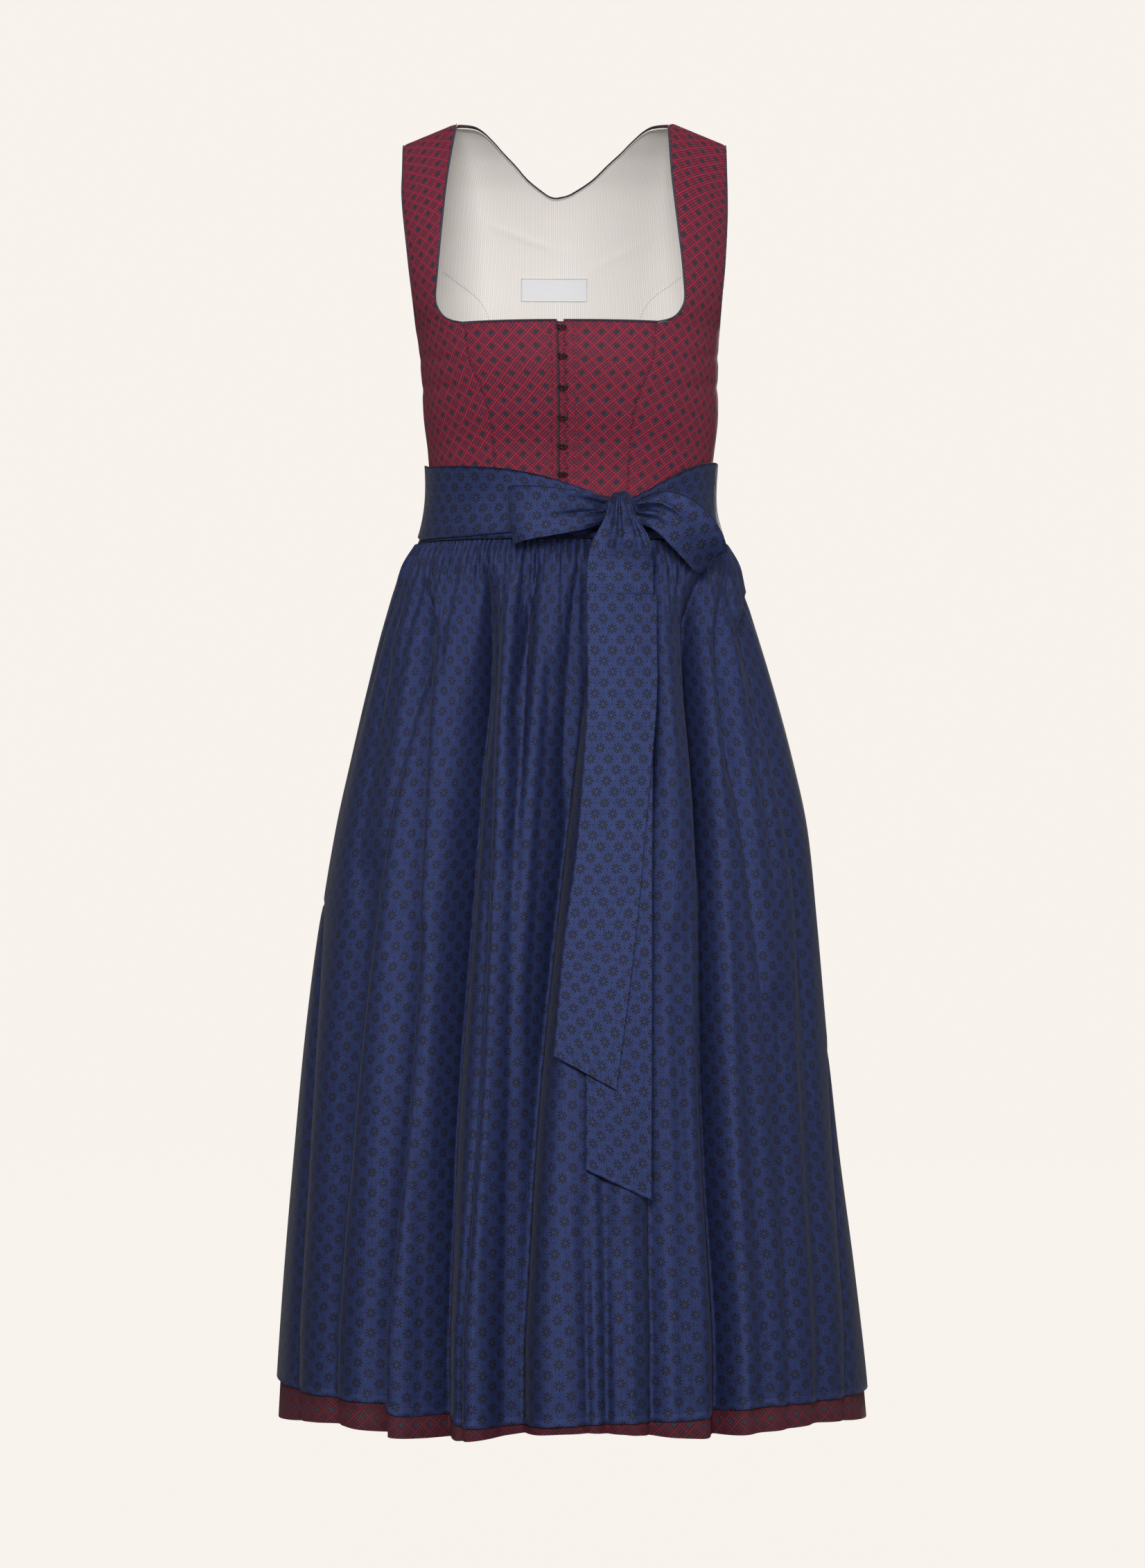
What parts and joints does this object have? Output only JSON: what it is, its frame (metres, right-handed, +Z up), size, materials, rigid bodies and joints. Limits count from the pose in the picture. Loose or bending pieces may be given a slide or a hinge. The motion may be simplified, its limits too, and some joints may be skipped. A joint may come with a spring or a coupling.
{
  "type": "dirndl",
  "caption": "Worn-form dirndl: square-necked sleeveless bodice with hook front, gathered midi skirt, and an apron tied in a front bow.",
  "frame": {"origin": "midway between the two shoulder seams, where the wearer's shoulders carry the garment", "axes": "+Z up, the front faces -Y, +X to the viewer's right from the front"},
  "size_m": [0.5189, 0.4096, 1.1363],
  "materials": {
    "bodice_jacquard": "matte jacquard weave",
    "skirt_jacquard": "matte jacquard weave",
    "apron_cloth": "soft sheen",
    "lining": "plain cotton weave",
    "label": "woven satin, bare",
    "piping": "satin piping",
    "hook": "black enamel"
  },
  "bodies": {
    "root": {"apron": "apron_cloth", "apron_waistband": "apron_cloth", "armhole_piping_left": "piping", "armhole_piping_right": "piping", "back_lining": "lining", "bodice_back": "bodice_jacquard", "bodice_centre_front_left": "bodice_jacquard", "bodice_centre_front_right": "bodice_jacquard", "bodice_side_back_left": "bodice_jacquard", "bodice_side_back_right": "bodice_jacquard", "bodice_side_front_left": "bodice_jacquard", "bodice_side_front_right": "bodice_jacquard", "boning_channel_left": "bodice_jacquard", "boning_channel_right": "bodice_jacquard", "bow_knot": "apron_cloth", "bow_loop_left": "apron_cloth", "bow_loop_right": "apron_cloth", "hook_1": "hook", "hook_2": "hook", "hook_3": "hook", "hook_4": "hook", "hook_5": "hook", "hook_6": "hook", "neck_piping_back": "piping", "neck_piping_front_left": "piping", "neck_piping_front_right": "piping", "placket_underlap": "bodice_jacquard", "skirt_back_left": "skirt_jacquard", "skirt_back_right": "skirt_jacquard", "skirt_front_left": "skirt_jacquard", "skirt_front_right": "skirt_jacquard", "tail_back": "apron_cloth", "tail_front": "apron_cloth", "tie_band_left": "apron_cloth", "tie_band_right": "apron_cloth", "woven_label": "label"}
  },
  "joints": []
}
